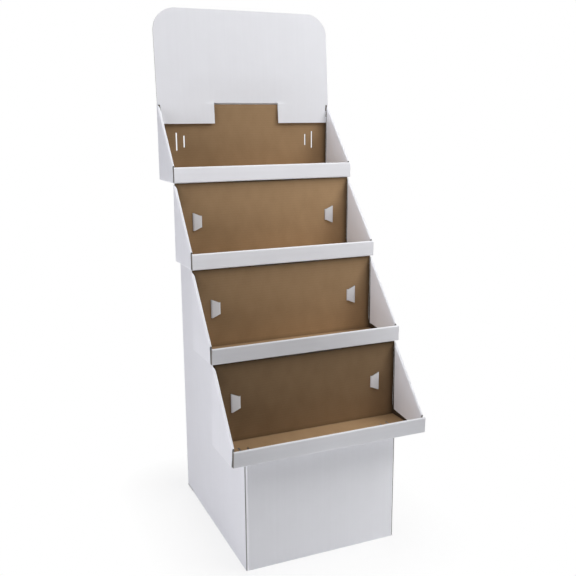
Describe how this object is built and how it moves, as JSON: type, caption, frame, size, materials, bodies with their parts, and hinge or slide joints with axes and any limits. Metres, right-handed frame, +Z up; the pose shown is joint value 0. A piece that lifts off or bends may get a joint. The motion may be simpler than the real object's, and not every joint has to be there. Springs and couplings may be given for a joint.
{
  "type": "cardboard display stand",
  "caption": "Free-standing corrugated display stand: a white stepped sleeve carries open-fronted trays, each set back from the one below, under a rounded header card.",
  "frame": {"origin": "on the floor, in the middle of the stand's outline seen from above", "axes": "+Z up, the open front of the trays faces -Y, +X to the right of someone who faces the stand"},
  "size_m": [0.5, 0.5612, 1.3415],
  "materials": {
    "white_liner": "matt white-lined corrugated board",
    "kraft_liner": "plain brown kraft liner, the inner face of the same board"
  },
  "bodies": {
    "root": {"body": "white_liner", "plinth_front": "white_liner", "tray_1": "white_liner", "tray_2": "white_liner", "tray_3": "white_liner", "tray_4": "white_liner", "header": "white_liner"}
  },
  "joints": []
}
